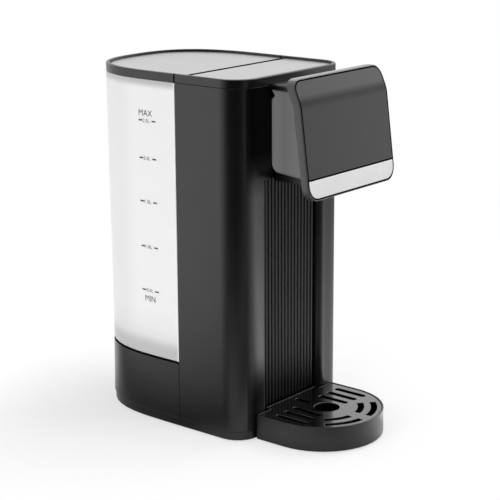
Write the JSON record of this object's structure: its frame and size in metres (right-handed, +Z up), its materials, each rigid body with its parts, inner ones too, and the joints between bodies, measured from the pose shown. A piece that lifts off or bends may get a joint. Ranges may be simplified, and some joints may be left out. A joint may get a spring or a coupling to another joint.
{
  "type": "instant hot water dispenser",
  "caption": "Countertop instant hot water dispenser: ribbed column, leaning touch panel on a neck, lift-out frosted rear tank with lid, and a round-fronted slotted drip tray.",
  "frame": {"origin": "on the table, under the middle of the footprint with the drip tray in place", "axes": "+Z up, the front with the panel and the tray faces -Y, +X to the right seen from the front"},
  "size_m": [0.1412, 0.2598, 0.3054],
  "materials": {
    "satin_black": "satin",
    "deep_black": "matt",
    "satin_silver": "satin",
    "frosted_clear": "frosted",
    "gloss_panel": "gloss",
    "steel": "satin",
    "zinc": "satin",
    "rubber": "matt",
    "silicone": "matt",
    "board": "satin",
    "natural_plastic": "satin"
  },
  "bodies": {
    "housing": {"front_shell": "satin_black", "ribbed_panel": "deep_black", "column_back_wall": "deep_black", "top_cap": "satin_black", "cap_plate": "satin_silver", "rear_base": "satin_black", "tank_seat": "natural_plastic", "cord_gland": "rubber", "base_pan": "deep_black", "foot_1": "rubber", "foot_2": "rubber", "foot_3": "rubber", "foot_4": "rubber", "base_screw_1": "zinc", "base_screw_2": "zinc", "base_screw_3": "zinc", "base_screw_4": "zinc", "pump_head": "natural_plastic", "pump_motor": "steel", "pump_cradle": "rubber", "flow_heater": "steel", "heater_clamp_1": "natural_plastic", "heater_clamp_2": "natural_plastic", "thermal_cutout": "deep_black", "suction_hose": "silicone", "feed_hose": "silicone", "outlet_hose": "silicone", "power_board": "board", "panel_shell": "satin_black", "display_panel": "gloss_panel", "trim_band": "satin_silver", "control_board": "board", "neck_shell": "satin_black", "neck_roof": "satin_black", "spout_holder": "deep_black", "spout_nozzle": "rubber"},
    "tank": {"water_tank": "frosted_clear", "filter_cage": "natural_plastic", "valve_spring": "steel", "seat_seal": "rubber"},
    "lid": {"tank_lid": "satin_black", "tank_lid_plate": "satin_silver"},
    "valve": {"valve_plunger": "natural_plastic", "valve_gasket": "rubber"},
    "tray": {"drip_tray": "satin_black"},
    "grid": {"drip_grid": "satin_black"}
  },
  "joints": [
    {"name": "tank_lift", "type": "slide", "parent": "housing", "child": "tank", "axis": [0, 0, 1], "range_m": [0, 0.1]},
    {"name": "lid_lift", "type": "slide", "parent": "tank", "child": "lid", "axis": [0, 0, 1], "range_m": [0, 0.05]},
    {"name": "valve_stroke", "type": "slide", "parent": "tank", "child": "valve", "axis": [0, 0, 1], "range_m": [-0.004, 0], "stiffness_N_per_m": 150, "springref_m": -0.006, "deforming": ["valve_spring"]},
    {"name": "tray_slide", "type": "slide", "parent": "housing", "child": "tray", "axis": [0, -1, 0], "range_m": [0, 0.09]},
    {"name": "grid_lift", "type": "slide", "parent": "tray", "child": "grid", "axis": [0, 0, 1], "range_m": [0, 0.03]}
  ],
  "couplings": [
    {"joint": "valve_stroke", "follows": "tank_lift", "ratio": -0.04}
  ]
}
